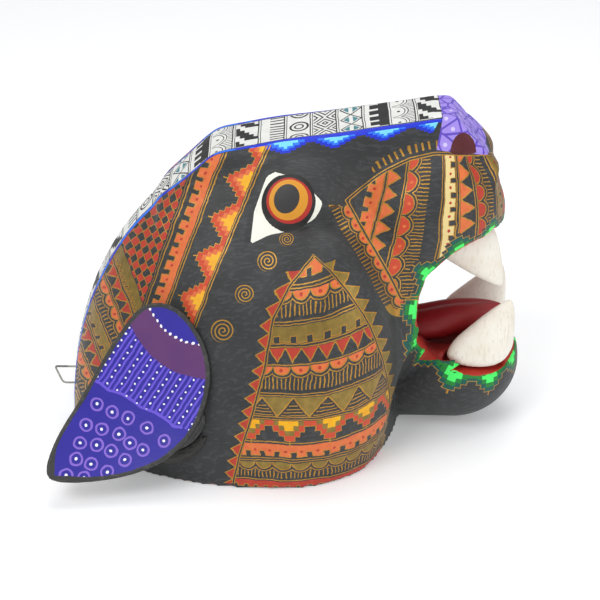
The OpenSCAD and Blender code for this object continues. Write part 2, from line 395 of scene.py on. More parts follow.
def battlement(b, where, u, t, pitch, low, high, fill, dots=None, edge="gold"):
    side = abs(b.fraction(u / pitch) - 0.5)
    inside = where * (t > 0)
    step = (side < 0.29) * (high - low)
    wide = (side < 0.29 + 0.5 / pitch) * (high - low)
    body = t < step + low
    b.lay(fill, inside * body)
    b.lay(edge, inside * (t < wide + (low + 0.55)) * (1 - body))
    if dots:
        spot = b.length(side * pitch, t - high * 0.55)
        b.lay(dots, inside * (spot < 0.95))


# %% Scallops with lashes, and stepped pyramids
def scallops(b, where, u, t, pitch, fill, dots="red", lashes=6.0, edge="gold"):
    across = (b.fraction(u / pitch) - 0.5) * pitch
    from_middle = b.length(across, t * 1.1)
    reach = pitch * 0.46
    inside = where * (t > 0)
    b.lay(fill, inside * (from_middle < reach))
    b.lay(edge, inside * (abs(from_middle - reach) < 0.34))
    outer = pitch * 0.5 + 1.5
    b.lay(edge, inside * (abs(from_middle - outer) < 0.36))
    if dots:
        b.lay(dots, inside * (b.length(across, t - reach * 0.42) < 1.05))
    if lashes:
        lash = (b.fraction(u / 2.5) < 0.3) * (from_middle > outer + 0.9)
        b.lay(edge, inside * lash * (t < reach + lashes))


def pyramids(b, where, u, t, pitch, height, steps, inks, edge="gold"):
    level = 1 - abs(b.fraction(u / pitch) - 0.5) * 2
    inside = where * (t > 0)
    stair = b.sum("CEIL", level * steps) * (height / steps)
    rim = b.sum("CEIL", (level + 0.9 / pitch) * steps) * (height / steps)
    body = t < stair
    if edge:
        b.lay(edge, inside * (t < rim + 0.45) * (1 - body))
    b.lay(inks[0], inside * body)
    for i, colour in enumerate(inks[1:], 1):
        share = i / len(inks)
        inner = b.sum("CEIL", (level - share * 0.8) * steps) * (height / steps)
        b.lay(colour, inside * (t < inner - 0.4))


print("four motifs ready")

# %% [markdown]
# ## The head's form
# The block is a sum of soft masses round one core: skull, bridge, whisker pads, lips, chin, jowls,
# cheeks and brows. The same sum is written here again, so that a fine mesh can be laid exactly on it.

# %% Masses of the carving
SKULL = (84.0, 128.0, 101.0, 181.0)
WALL, CROWN = 17.0, 36.0
MELT, FADE, BRIDGE_MELT = 6.0, 5.0, 2.5
MASSES = {
    "whisker_pad": ((76, 21, 148), (47, 34, 39), 32),
    "lip": ((92, 7, 142), (35, 31, 33), 20),
    "chin": ((99, 0, 39), (42, 43, 39), 0),
    "mouth_root": ((50, 0, 92), (44, 56, 68), 0),
    "jowl": ((6, 50, 56), (52, 54, 96), -8),
    "cheek": ((44, 24, 122), (36, 32, 42), 30),
    "brow": ((-2, 24, 155), (38, 26, 31), 10),
}
BRIDGE = (
    ((-0.168, 0, 1), (90, 0, 210.5)),
    ((0.79, 0, 0.61), (104.5, 0, 195)),
    ((0, 1, 0.25), (0, 23, 200)),
    ((-1, 0, 0.9), (-60, 0, 178)),
    ((-1, 0, 0), (-85, 0, 0)),
    ((0.9, 0, -0.44), (106, 0, 150)),
)


def mass_reach(d, mass):
    middle, half, lift = mass
    c, s = math.cos(math.radians(lift)), math.sin(math.radians(lift))

    def local(v):
        return np.stack([(v[:, 0] * c + v[:, 2] * s) / half[0], v[:, 1] / half[1],
                         (v[:, 2] * c - v[:, 0] * s) / half[2]], 1)

    u, w = local(d), local((np.array(middle) - CORE)[None, :])
    a, b = (u * u).sum(1), (u * w).sum(1)
    q = (b * b - a * ((w * w).sum() - 1)) / a
    return np.where(q > 0, (b + np.sqrt(a * np.maximum(q, 0))) / a,
                    np.maximum(b / a * np.exp(np.minimum(q, 0) * FADE), 0))


def head_reach(d):
    """How far the carving reaches from its core along each direction."""
    d = np.stack([d[:, 0], np.abs(d[:, 1]), d[:, 2]], 1)
    front = np.where(d[:, 0] > 0, SKULL[0], SKULL[1])
    reaches = [1 / np.sqrt((d[:, 0] / front) ** 2 + (d[:, 1] / SKULL[2]) ** 2 + (d[:, 2] / SKULL[3]) ** 2)]
    planes = []
    for normal, point in BRIDGE:
        n = unit(normal)
        facing = d @ n
        height = n @ (np.array(point) - CORE)
        planes.append(np.where(facing > 0.001, height / np.maximum(facing, 0.001), 1000))
    planes = np.minimum(np.stack(planes), 1000)
    least = planes.min(0)
    reaches.append(least - BRIDGE_MELT * np.log(np.exp((least - planes) / BRIDGE_MELT).sum(0)))
    reaches += [mass_reach(d, mass) for mass in MASSES.values()]
    reaches = np.stack(reaches)
    most = reaches.max(0)
    return most + MELT * np.log(np.exp((reaches - most) / MELT).sum(0))


# %% The lips' line and distances to outlines
LIP_KNOTS = np.array([(150, 147), (127, 140), (110, 138), (96, 133), (81, 121.5), (73, 105), (71, 87),
                      (72.5, 71), (79, 59), (91, 50), (107, 45.5), (123, 44.5), (135, 49), (152, 58)], float)


def smooth_line(knots, n):
    padded = np.vstack([knots[:1], knots, knots[-1:]])
    out = []
    for a, b, c, d in zip(padded, padded[1:], padded[2:], padded[3:]):
        for t in np.arange(n) / n:
            out.append(0.5 * (2 * b + (c - a) * t + (2 * a - 5 * b + 4 * c - d) * t ** 2
                              + (3 * b - a - 3 * c + d) * t ** 3))
    return np.array(out + [knots[-1]])


def outline_distance(points, outline):
    """Distance to a closed outline, above zero inside it, and the way along it."""
    ends = np.roll(outline, -1, axis=0)
    best = np.full(len(points), 1e9)
    along = np.zeros(len(points))
    inside = np.zeros(len(points), bool)
    travelled = 0.0
    for a, b in zip(outline, ends):
        edge = b - a
        size = np.linalg.norm(edge)
        share = np.clip(((points - a) @ edge) / size ** 2, 0, 1)
        gap = np.linalg.norm(points - a - share[:, None] * edge, axis=1)
        closer = gap < best
        along = np.where(closer, travelled + share * size, along)
        best = np.minimum(best, gap)
        travelled += size
        crosses = (a[1] > points[:, 1]) != (b[1] > points[:, 1])
        height = np.where(abs(edge[1]) < 1e-9, 1e-9, edge[1])
        inside ^= crosses & (points[:, 0] < (points[:, 1] - a[1]) / height * edge[0] + a[0])
    return np.where(inside, best, -best), along


lip_line = smooth_line(LIP_KNOTS, 6)
wedge = np.vstack([lip_line, [[289, 58], [289, 147]]])
print("lip line of", len(lip_line), "points")


# %% The painter's flat view of the head
def stencil(p):
    """Where a point lies on a flat sheet held between the painter and the head, on either side of it."""
    far, high = -np.abs(p[:, 1]), p[:, 2] - LOOK
    depth = DISTANCE + far * math.cos(RISE) - high * math.sin(RISE)
    rise = far * math.sin(RISE) + high * math.cos(RISE)
    return DISTANCE * p[:, 0] / depth, DISTANCE * rise / depth


# %% [markdown]
# ## The head
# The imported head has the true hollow, mouth and sockets but few, flat faces. A copy of it is merged
# and remeshed to small even faces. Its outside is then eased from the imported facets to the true
# masses, ray by ray, and the ease fades out inwards, so the hollow and the sockets stay in place.

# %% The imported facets, as reaches along the same rays
ROWS, COLUMNS = 70, 46
grid_a = np.radians(180 * np.arange(ROWS + 1) / ROWS)[:, None]
share = 2 * np.arange(COLUMNS + 1) / COLUMNS - 1
column_lines = np.radians(90 * (0.55 * share + 0.45 * share ** 3))
grid_b = column_lines[None, :]
grid = np.stack([np.cos(grid_a) * np.cos(grid_b), np.sin(grid_b) + 0 * grid_a,
                 np.sin(grid_a) * np.cos(grid_b)], -1)
grid = grid * head_reach(grid.reshape(-1, 3)).reshape(ROWS + 1, COLUMNS + 1, 1)


def facet_reach(d):
    """How far the packed, faceted head reaches along each direction."""
    i = np.clip((np.arctan2(np.maximum(d[:, 2], 0), d[:, 0]) / math.pi * ROWS).astype(int), 0, ROWS - 1)
    j = np.clip(np.searchsorted(column_lines, np.arcsin(np.clip(d[:, 1], -1, 1))) - 1, 0, COLUMNS - 1)
    best, reach = np.full(len(d), -9e9), np.zeros(len(d))
    for corners in (((0, 0), (1, 0), (0, 1)), ((0, 1), (1, 0), (1, 1))):
        a, b, c = (grid[i + m, j + n] for m, n in corners)
        normal = np.cross(b - a, c - a)
        facing = (normal * d).sum(1)
        size = (normal * a).sum(1) / np.where(np.abs(facing) < 1e-9, 1e-9, facing)
        hit = d * size[:, None]
        area = (normal * normal).sum(1)
        inside = np.min([(np.cross(q - p, hit - p) * normal).sum(1) for p, q in ((a, b), (b, c), (c, a))], 0)
        inside = np.where(area < 1e-6, -9e9, inside / np.maximum(area, 1e-6))
        reach = np.where(inside > best, size, reach)
        best = np.maximum(best, inside)
    full = head_reach(d)
    return np.clip(reach, full * 0.85, full * 1.1)


# %% The fangs' sockets, which come close to the outside
FANG_T, FANG_SWELL = 21.0, 0.72
FANG_STEPS = (0, 0.15, 0.3, 0.45, 0.6, 0.75, 0.87, 0.95)
FANGS = {
    "lower": ((115, -28, 60.5), (131, -27, 92), (1, 0.12, -0.15), 40.0, 16.0),
    "upper": ((103, -25, 129.5), (125, -25, 100), (1, 0.12, 0.4), 38.0, 9.0),
}


def in_socket(p):
    """Points inside a fang's socket, or within a millimetre of it, on either side of the head."""
    folded_in = p * 1.0
    folded_in[:, 1] = -np.abs(p[:, 1])
    found = np.zeros(len(p), bool)
    for foot, tip, along_lip, long, root in FANGS.values():
        way = unit(np.array(tip, float) - foot)
        frame_axes = np.stack([-way, unit(along_lip), (0, 1, 0)], 1)
        down, along, across_lip = np.linalg.solve(frame_axes, (folded_in - foot).T)
        oval = np.hypot(along / (long / 2 + 1), across_lip / (FANG_T / 2 + 1))
        found |= (oval < 1) & (down > -8) & (down < root + 2)
    return found


# %% Remesh the head and ease it on to its masses
head = merged_copy("head_shell", "carved_head")
apply(head, "REMESH", mode="VOXEL", voxel_size=0.00192, use_smooth_shade=True)
form = to_form(points_of(head))
normals = np.zeros(len(form) * 3)
head.data.vertices.foreach_get("normal", normals)
rays = form - CORE
radius = np.linalg.norm(rays, axis=1)
rays = rays / radius[:, None]
reach = head_reach(rays)
packed = facet_reach(rays)
ease = np.clip(1 - (packed - radius - 1.5) / 9, 0, 1)
radius = radius + (reach - packed) * ease
looks_out = (normals.reshape(-1, 3) * rays).sum(1) > -0.2
in_wedge, _ = outline_distance(form[:, [0, 2]], wedge)
hollow_half = np.where(rays[:, 0] > 0, SKULL[0] - WALL, SKULL[1] - WALL)
hollow_reach = 1 / np.sqrt((rays[:, 0] / hollow_half) ** 2 + (rays[:, 1] / (SKULL[2] - WALL)) ** 2
                           + (rays[:, 2] / (SKULL[3] - CROWN)) ** 2)
outer = (np.abs(reach - radius) < 9) & (in_wedge < -0.9) & (form[:, 2] > 1.2)
outer &= looks_out & (radius > hollow_reach + 5) & ~in_socket(form)
radius[outer] = reach[outer]
form = CORE + rays * radius[:, None]
print("eased", int((ease > 0).sum()), "and laid", int(outer.sum()), "of", len(outer), "points")

# %% [markdown]
# The carver's small relief comes next: the eye stands proud inside a cut line, the nostril is
# scooped, and knife marks stay all over.

# %% Eye, nostril and knife relief
across, up = stencil(form)
flat = np.stack([across, up], 1)
EYE_OUTLINE = np.array([(-31.8, 36.8), (-29.4, 57.6), (-24, 73), (-21.1, 80), (-16, 82.6), (-4.5, 80.6),
                        (6.4, 72.6), (14.7, 63), (12.8, 57.6), (9.6, 52.8), (0, 47.4), (-11.5, 44.2),
                        (-20.5, 42.2)])
eye_inside, _ = outline_distance(flat, EYE_OUTLINE)
ball = np.hypot((across + 7.3) / 17.5, (up - 63) / 18.8)
bump = 1.5 * np.clip(1 - ball, 0, 1) ** 0.5 - 0.9 * np.exp(-(eye_inside / 1.5) ** 2)
bump -= 0.7 * np.exp(-((ball - 1) / 0.08) ** 2)
NOSTRIL_A, NOSTRIL_B, NOSTRIL_HALF = 105.0, 94.7, (8.3, 12.8)
nostril = np.hypot((across - NOSTRIL_A) / NOSTRIL_HALF[0],
                   (np.maximum(up, NOSTRIL_B) - NOSTRIL_B) / NOSTRIL_HALF[1])
bump -= 3.2 * np.clip(1.1 - nostril, 0, 1) ** 0.7 * (up > 94)
wander = sum(np.sin(form @ unit(rng.normal(size=3)) * f + rng.uniform(0, 6)) for f in (0.11, 0.17, 0.26, 0.4))
bump += wander * 0.12
near_top = form[:, 2] > 4
radius = radius + np.where(outer & near_top, bump, 0)
form = CORE + rays * radius[:, None]
form[:, 0] = np.minimum(form[:, 0], CHIN_FRONT - 0.05)
form[:, 2] = np.clip(form[:, 2], 0, cad_box[1].z / MM - 0.05)
set_points(head, to_model(form))
report(head)

# %% [markdown]
# ### Guides for the painter
# The paint needs to know where it is. Each point of the head stores its place in every painted field:
# how far along a band it lies, how far across, and how far inside the border. The numbers change
# slowly, so they are exact between the points too, and a fine line stays fine.

# %% Guides for the lips, the stripe and the inside
side_y = np.abs(form[:, 1])
depth_in = np.maximum(reach - np.linalg.norm(form - CORE, axis=1), np.clip(in_wedge * 4, 0, 2))
depth_in = np.where(outer, 0, depth_in)
in_hollow = hollow_reach + 3 - np.linalg.norm(form - CORE, axis=1)
give(head, "inside", (depth_in, in_wedge, in_hollow))
give(head, "sheet", (across, up, form[:, 2]))

lip_points = []
for x, z in lip_line:
    ys = np.linspace(0, 90, 361)
    test = np.stack([np.full_like(ys, x), ys, np.full_like(ys, z)], 1) - CORE
    size = np.linalg.norm(test, axis=1)
    solid = np.nonzero(head_reach(test / size[:, None]) > size)[0]
    if len(solid):
        lip_points.append((x, ys[solid[-1]], z))
lip_points = np.array(lip_points)
front_top = [lip_points[0] * (1, k, 1) for k in np.linspace(0, 0.95, 12)]
front_low = [lip_points[-1] * (1, k, 1) for k in np.linspace(0.95, 0, 12)]
lip_points = np.vstack([front_top, lip_points, front_low])
lip_steps = np.linalg.norm(np.diff(lip_points, axis=0), axis=1)
lip_way = np.concatenate([[0], np.cumsum(lip_steps)])
folded = np.stack([form[:, 0], side_y, form[:, 2]], 1)
lip_near = np.full(len(form), 99.0)
lip_along = np.zeros(len(form))
for i, (a, b) in enumerate(zip(lip_points, lip_points[1:])):
    if lip_steps[i] < 1e-6:
        continue
    edge = b - a
    share = np.clip(((folded - a) @ edge) / lip_steps[i] ** 2, 0, 1)
    gap = np.linalg.norm(folded - a - share[:, None] * edge, axis=1)
    closer = gap < lip_near
    lip_along = np.where(closer, lip_way[i] + share * lip_steps[i], lip_along)
    lip_near = np.minimum(lip_near, gap)
give(head, "lips", (lip_along, lip_near, side_y))
print("lips", round(float(lip_way[-1])), "mm round one side")

turn = np.radians(np.linspace(0, 180, 721))
profile = np.stack([np.cos(turn), 0 * turn, np.sin(turn)], 1)
profile_reach = head_reach(profile)
profile_points = profile * profile_reach[:, None]
profile_way = np.concatenate([[0], np.cumsum(np.linalg.norm(np.diff(profile_points, axis=0), axis=1))])
angle = np.arctan2(rays[:, 2], rays[:, 0])
middle_reach = np.interp(angle, turn, profile_reach)
fallen = np.clip(middle_reach - np.hypot(form[:, 0] - CORE[0], form[:, 2]) - 1.5, 0, None)
NOSE_BACK = 87.0
top_side = (profile_points[:, 0] + CORE[0] < NOSE_BACK) & (turn > math.radians(40))
way_zero = profile_way[np.argmax(top_side)]
stripe_way = np.interp(angle, turn, profile_way) - way_zero
narrow = np.clip((-60 - form[:, 0]) / 45, 0, 1)
stripe_half = 21.5 - 8 * narrow * narrow * (3 - 2 * narrow)
give(head, "stripe", (stripe_way, form[:, 1], side_y - stripe_half + fallen))
print("stripe", round(float(profile_way[-1] - way_zero)), "mm long")

# %% Guides for the cheek, the whisker pad and the temple
def jowl_way(x, y):
    return np.arctan2(x - 6, y - 50) * np.hypot(x - 6, y - 50)


level = form[:, 2] - 0.0023 * (form[:, 2] - 20) * form[:, 0]
LEFT_EDGE = np.array([(0, -42, 99.5), (25, -36.6, 99.5), (50, -29.3, 98.3), (80, -21.6, 95.2),
                      (108, -16.6, 87.1), (127, -6.8, 80.7), (143, 7.8, 71.3), (150, 14, 66)])
RIGHT_EDGE = np.array([(0, 54, 62), (23, 55.5, 64), (41, 55.3, 66.7), (55, 54.2, 71.8), (73, 51, 78.9),
                       (93, 45.4, 83.2), (110, 38.2, 85), (125, 28.2, 83.4), (136, 18.5, 78.9),
                       (143, 7.8, 71.3), (150, 1, 66)])
around = jowl_way(form[:, 0], side_y)
left_way = np.interp(form[:, 2], LEFT_EDGE[:, 0], jowl_way(LEFT_EDGE[:, 1], LEFT_EDGE[:, 2]))
right_way = np.interp(form[:, 2], RIGHT_EDGE[:, 0], jowl_way(RIGHT_EDGE[:, 1], RIGHT_EDGE[:, 2]))
give(head, "cheek", (around, level, form[:, 2]))
give(head, "cheek_sides", (around - left_way, right_way - around, form[:, 0]))

PAD_OUTLINE = np.array([(28.8, 64), (38.4, 72.3), (52, 82), (70.4, 91.5), (86.4, 94.7), (113, 94.7),
                        (150, 94), (150, 0), (64, 0), (54, 20), (45.4, 35.2), (36, 50)])
pad_inside, pad_way = outline_distance(flat, PAD_OUTLINE)
lean = 0.0056 * (form[:, 2] - 150)
pad_level = np.where(form[:, 0] < 95, (form[:, 0] - 95 * lean) / (1 - lean), form[:, 0])
round_front = 90 + 35 * np.arctan2(form[:, 0] - 90, np.maximum(side_y - 10, -15))
ease = np.clip((form[:, 0] - 90) / 12, 0, 1)
pad_level = pad_level * (1 - ease) + np.maximum(round_front, 90) * ease
pad_along = form[:, 2] * 1.1 - side_y * 0.3
give(head, "pad", (pad_along, pad_level, pad_inside))
give(head, "pad_edge", (pad_way, side_y, form[:, 0]))

FAN = np.array([(-24, 91.7, 0), (-33, 69.3, 0), (-40.5, 53.3, 0), (-43.7, 33.1, 0), (-52.8, 13.9, 0),
                (-68.3, -9.6, 0), (-46.9, 86.4, 26), (-58.7, 71.5, 26), (-65.1, 54.4, 26),
                (-72.5, 32, 26), (-78.9, 13.9, 26), (-82.7, -2.1, 26), (-68.3, 76.8, 41.5),
                (-81.1, 54.4, 41.5), (-87.5, 33.1, 41.5), (-93.9, 3.2, 41.5)])


def fan_terms(a, b):
    return np.stack([np.ones_like(a), a, b, a * a / 100, a * b / 100, b * b / 100], -1)


fan_fit = np.linalg.lstsq(fan_terms(FAN[:, 0], FAN[:, 1]), FAN[:, 2], rcond=None)[0]
fan = fan_terms(across, up) @ fan_fit
rear = (across + 108.8) * -0.934 - (up - 20.3) * 0.354
give(head, "temple", (fan, rear, form[:, 0]))
print("guides stored on", len(form), "points")

# %% [markdown]
# ### Painting the head
# A charcoal coat goes on first with a wide brush. Then come the fields in turn, each in its own inks,
# and last the gold lines, laid on thick with a dip pen so that they stand a little proud.

# %% The paint box for the head and its fields
coat = PaintBox("painted_head_finish")
depth_mark, wedge_mark, hollow_mark = coat.read("inside")
sheet_a, sheet_b, height_mark = coat.read("sheet")
hand = coat.parts(coat.noise(70.0, 1.0, out=1))
tremble = coat.parts(coat.noise(420.0, 1.0, out=1))
sway_u = (hand[0] - 0.5) * 4.0 + (tremble[0] - 0.5) * 1.1
sway_t = (hand[1] - 0.5) * 2.6 + (tremble[1] - 0.5) * 0.8
outside = depth_mark < 0.8

# %% Cheek field
along, level_mark, _ = coat.read("cheek")
left_gap, right_gap, _ = coat.read("cheek_sides")
along = along + sway_u
level_mark = level_mark + sway_t
left_gap = left_gap + sway_t * 0.6
right_gap = right_gap + sway_t * 0.6
field = outside * (left_gap > 2.2) * (right_gap > 2.2)
battlement(coat, field, along, 140 - level_mark, 9, 4, 7.5, "orange")
scallops(coat, field, along, 126 - level_mark, 11.5, "orange", lashes=8)
battlement(coat, field, along, 107.5 - level_mark, 10, 5.5, 9, "leaf")
teeth(coat, field, along, 95 - level_mark, 10, 8.5, "red")
scallops(coat, field, along, 84 - level_mark, 11.5, "orange", lashes=9)
teeth(coat, field, along, 64.5 - level_mark, 20, 12.5, "leaf")
hatch = (coat.fraction(level_mark / 2.1) < 0.3) * (64.5 - level_mark > wave(coat, along, 20) * 12.5 + 2)
coat.lay("gold", field * hatch * (level_mark < 61) * (level_mark > 52))
pyramids(coat, field, along, 49 - level_mark, 25, 13.5, 4, ("ember", "leaf", "yellow"))
battlement(coat, field, along, 32.3 - level_mark, 10, 5, 8.5, "orange", dots="red")
scallops(coat, field, along, 19 - level_mark, 11.5, "leaf", dots=None, lashes=6)
battlement(coat, field, along, 5 - level_mark, 7, 2.8, 4.6, "red")
for place in (128, 109.3, 96.5, 66.2, 50.6, 21):
    coat.lay("gold", field * pair(coat, level_mark - place))
for place in (85, 33.8, 6):
    coat.lay("gold", field * line(coat, level_mark - place))
tall = outside * (level_mark < 141) * (level_mark > 0.5)
coat.lay("gold", tall * pair(coat, left_gap - 0.9) * (right_gap > 0))
coat.lay("gold", tall * pair(coat, right_gap - 0.9) * (left_gap > 0))
teeth(coat, tall * (right_gap > 4) * (level_mark < 135), level_mark, -left_gap, 9, 7, "red")
teeth(coat, tall * (left_gap > 4) * (level_mark < 135), level_mark, -right_gap, 9, 9, "leaf")
print("cheek painted")

# %% Whisker pad field
pad_u, pad_t, pad_gap = coat.read("pad")
edge_u, _, _ = coat.read("pad_edge")
pad_u = pad_u + sway_u
pad_t = pad_t + sway_t
pad_gap = pad_gap + sway_t * 0.5
lip_gap_u, lip_gap, _ = coat.read("lips")
lip_level = 1 - abs(coat.fraction((lip_gap_u + sway_u * 0.4) / 24) - 0.5) * 2
lip_band = coat.sum("CEIL", lip_level * 4) * 2.9 + 3.0
field = outside * (pad_gap > 2) * (wedge_mark < 0) * (lip_gap > lip_band)
battlement(coat, field, pad_u, 43.2 - pad_t, 9, 4.5, 8.5, "orange", dots="red")
teeth(coat, field, pad_u, pad_t - 45.8, 11.5, 7.5, "orange")
scallops(coat, field, pad_u, pad_t - 58.6, 14.5, "ember", dots="orange", lashes=8)
battlement(coat, field, pad_u, pad_t - 84.6, 9.6, 3.6, 7, "cream", dots="red")
teeth(coat, field, pad_u, pad_t - 95, 11.7, 7.5, "orange")
scallops(coat, field, pad_u, pad_t - 106, 12, "red", dots=None, lashes=6)
battlement(coat, field, pad_u, pad_t - 123, 9, 3, 6, "leaf", dots="red")
teeth(coat, field, pad_u, pad_t - 133, 10, 6.5, "red")
for place in (44.5, 57.3, 83.2, 93.6, 104.6, 121.7, 131.6, 142):
    coat.lay("gold", field * pair(coat, pad_t - place))
ring = outside * (wedge_mark < 0)
coat.lay("gold", ring * pair(coat, pad_gap - 1.0))
low_left = ring * (sheet_b < 61) * (sheet_a < 66)
scallops(coat, low_left, edge_u, -pad_gap, 9.5, "orange", lashes=6.5)
brow_side = ring * (sheet_a > 46) * (sheet_a < 88) * (sheet_b > 76)
coat.lay("gold", brow_side * (coat.fraction(edge_u / 4.2) < 0.32) * (pad_gap < -2.2) * (pad_gap > -7.5))
print("whisker pad painted")

# %% Temple field
fan_mark, rear_mark, length_mark = coat.read("temple")
_, _, stripe_gap = coat.read("stripe")
fan_u = sheet_b * 0.98 + sheet_a * 0.21 + sway_u
rear_u = sheet_a * 0.354 - sheet_b * 0.934 + sway_u
fan_t = fan_mark + sway_t
rear_t = rear_mark + sway_t
field = outside * (stripe_gap > 2.5) * (length_mark < 10) * (height_mark > 3)
near_fan = field * (fan_t < 42.5) * (sheet_b > -30)
pyramids(coat, near_fan, fan_u, fan_t - 2.6, 27, 15, 5, ("ember", "orange", "yellow"))
battlement(coat, near_fan, fan_u, fan_t - 28, 9, 4.5, 9, "orange", dots="red")
for place in (0.8, 26, 41.6):
    coat.lay("gold", near_fan * pair(coat, fan_t - place, 0.95, 0.38))
cells = field * (fan_t > 43.5) * (rear_t < -0.5)
slant_a = (fan_u + fan_t * 1.2) / 7.2
slant_b = (fan_u - fan_t * 1.2) / 7.2
odd = coat.fraction((coat.sum("FLOOR", slant_a) + coat.sum("FLOOR", slant_b)) * 0.5) > 0.25
coat.lay("red", cells * odd)
weave = coat.least(abs(coat.fraction(slant_a + 0.5) - 0.5), abs(coat.fraction(slant_b + 0.5) - 0.5))
coat.lay("gold", cells * (weave < 0.045))
back = field * (rear_t > 0) * (fan_t > 43.5)
battlement(coat, back, rear_u, rear_t, 3.6, 4.6, 6.4, "leaf")
teeth(coat, back, rear_u, rear_t - 9.2, 8.5, 6, "red")
scallops(coat, back, rear_u, rear_t - 18, 9.5, "orange", lashes=5)
battlement(coat, back, rear_u, rear_t - 30, 8, 3, 5.5, "leaf")
teeth(coat, back, rear_u, rear_t - 39, 9, 6, "red")
scallops(coat, back, rear_u, rear_t - 48, 9.5, "orange", lashes=5)
battlement(coat, back, rear_u, rear_t - 61, 8, 3, 5.5, "leaf")
for place in (8.1, 16.6, 29, 37.5, 46.6, 59.6, 68.5):
    coat.lay("gold", back * pair(coat, rear_t - place, 0.7, 0.28))
print("temple painted")

# %% Four gold spirals below the eye
SPIRALS = ((-8.3, 39.0, 4.9), (-20.5, 25.0, 6.7), (-35.2, 3.8, 6.4), (-49.3, -19.8, 7.7))
for middle_a, middle_b, size in SPIRALS:
    da, db = sheet_a - middle_a + sway_u * 0.15, sheet_b - middle_b + sway_t * 0.15
    far = coat.length(da, db)
    turned = coat.sum("ARCTAN2", db, da) / (2 * math.pi)
    coil = abs(coat.fraction(far / (size / 3.1) - turned) - 0.5) < 0.17
    coat.lay("gold", outside * coil * (far < size) * (far > 0.5))
print("spirals painted")

# %% Lips and the stripe's hanging steps
lip_u, lip_t, _ = coat.read("lips")
lip_field = outside * (wedge_mark < 0.2)
lip_t = lip_t + sway_t * 0.3
coat.lay("green_deep", lip_field * (lip_t < 4.4))
coat.lay("green", lip_field * (lip_t < 1.9))
pyramids(coat, lip_field, lip_u + sway_u * 0.4, lip_t - 0.6, 24, 11.6, 4,
         ("green_deep", "green", "green_pale"))

stripe_s, stripe_y, stripe_gap = coat.read("stripe")
beside = outside * (stripe_s > 1) * (stripe_gap > -1)
coat.lay("blue_deep", beside * (stripe_gap < 2.0))
hang = beside * (stripe_s < 118) * (stripe_s > 3)
pyramids(coat, hang, stripe_s + 12 + sway_u * 0.3, stripe_gap - 1.6, 31, 8.5, 5,
         ("blue_deep", "blue", "blue_pale"), edge=None)
rear_edge = beside * (stripe_s > 118) * (stripe_gap < 1.8) * (hand[2] > 0.5)
coat.lay("blue", rear_edge)
print("lips and blue steps painted")

# %% [markdown]
# The stripe down the middle is white with fine black drawing. It is cut into cells by double lines,
# and each cell holds one motif: steps, arches with rays, a comb, zigzags, diamonds or rings.

# %% The white stripe and its drawn cells
CELL = 16.0
stripe_s = stripe_s + sway_u * 0.25
stripe_y = stripe_y + sway_t * 0.3
band = outside * (stripe_s > 0) * (stripe_gap < 0)
coat.lay("white", band)
cell_way = coat.fraction(stripe_s / CELL) * CELL
cell_turn = coat.fraction(coat.sum("FLOOR", stripe_s / CELL) / 7 + 0.01) * 7
drawn = band * (stripe_gap < -2.2) * (cell_way > 1.9) * (cell_way < CELL - 0.4)
coat.lay("black", band * pair(coat, cell_way - 0.9, 0.8, 0.38))
coat.lay("black", band * line(coat, stripe_gap + 1.4, 0.35))


def cell_of(i):
    return drawn * (abs(cell_turn - i - 0.07) < 0.5)


fret_y = coat.fraction(stripe_y / 21 + 0.5)
fret = coat.sum("CEIL", (cell_way - 1.5) / 2.9) / 5
coat.lay("black", cell_of(0) * (fret_y < fret) * (fret_y > fret - 0.62))
scallops(coat, cell_of(1), stripe_y + 9, 15 - cell_way, 18, "white", dots="black", lashes=6, edge="black")
battlement(coat, cell_of(2), stripe_y, cell_way - 2, 9.5, 5, 10.5, "black", edge="black")
zig = cell_of(3)
zig_rise = wave(coat, stripe_y, 17) * 6.4
coat.lay("teal", zig * (abs(cell_way - 8.5) < zig_rise - 1.6) * (abs(cell_way - 8.5) > 1.2))
coat.lay("black", zig * (abs(abs(cell_way - 8.5) - zig_rise) < 0.6))
cell_y = (coat.fraction(stripe_y / 21 + 0.5) - 0.5) * 21
diamond = abs(cell_y) * 0.7 + abs(cell_way - 8.5)
coat.lay("black", cell_of(4) * (abs(coat.fraction(diamond / 3.4) - 0.5) < 0.2))
rings = coat.length(cell_y * 0.75, cell_way - 8.5)
coat.lay("black", cell_of(5) * (abs(rings - 5.4) < 0.65))
coat.lay("black", cell_of(5) * (abs(rings - 2.6) < 0.55))
coat.lay("black", cell_of(6) * (coat.fraction(stripe_y / 4.4) < 0.36) * (cell_way < 10.5))
print("stripe drawn")

# %% [markdown]
# The eye, the nose and the mouth are laid over the patterns in flat opaque colour, and the mouth's red is
# darkened inwards as painted shade. The nose leather is
# cobbled: purple with small lavender cells, each with a pale dot.

# %% Eye
eye_outline, _ = outline_distance(flat, EYE_OUTLINE)
give(head, "eye", (eye_outline, across, up))
eye_edge, eye_a, eye_b = coat.read("eye")


def eye_ring(a, b, wide, high, lean=0.3):
    da, db = eye_a - a, eye_b - b
    c, s = math.cos(lean), math.sin(lean)
    return coat.length((da * c - db * s) / wide, (da * s + db * c) / high)


lid = eye_ring(-7.3, 63.0, 17.3, 18.6)
EYE_COLOURS = (
    ("eye_white", outside * (eye_edge > 0)),
    ("eye_black", outside * (lid < 1)),
    ("eye_red", outside * (eye_ring(-6.9, 63.0, 14.6, 14.8) < 1)),
    ("eye_orange", outside * (eye_ring(-7.4, 63.3, 12.3, 13.2) < 1)),
    ("eye_pupil", outside * (eye_ring(-8.6, 63.8, 8.0, 9.6) < 1)),
)
INKS.update(eye_white=ink(238, 238, 226), eye_black=ink(28, 27, 26), eye_red=ink(176, 40, 30),
            eye_orange=ink(214, 146, 36), eye_pupil=ink(50, 50, 50))

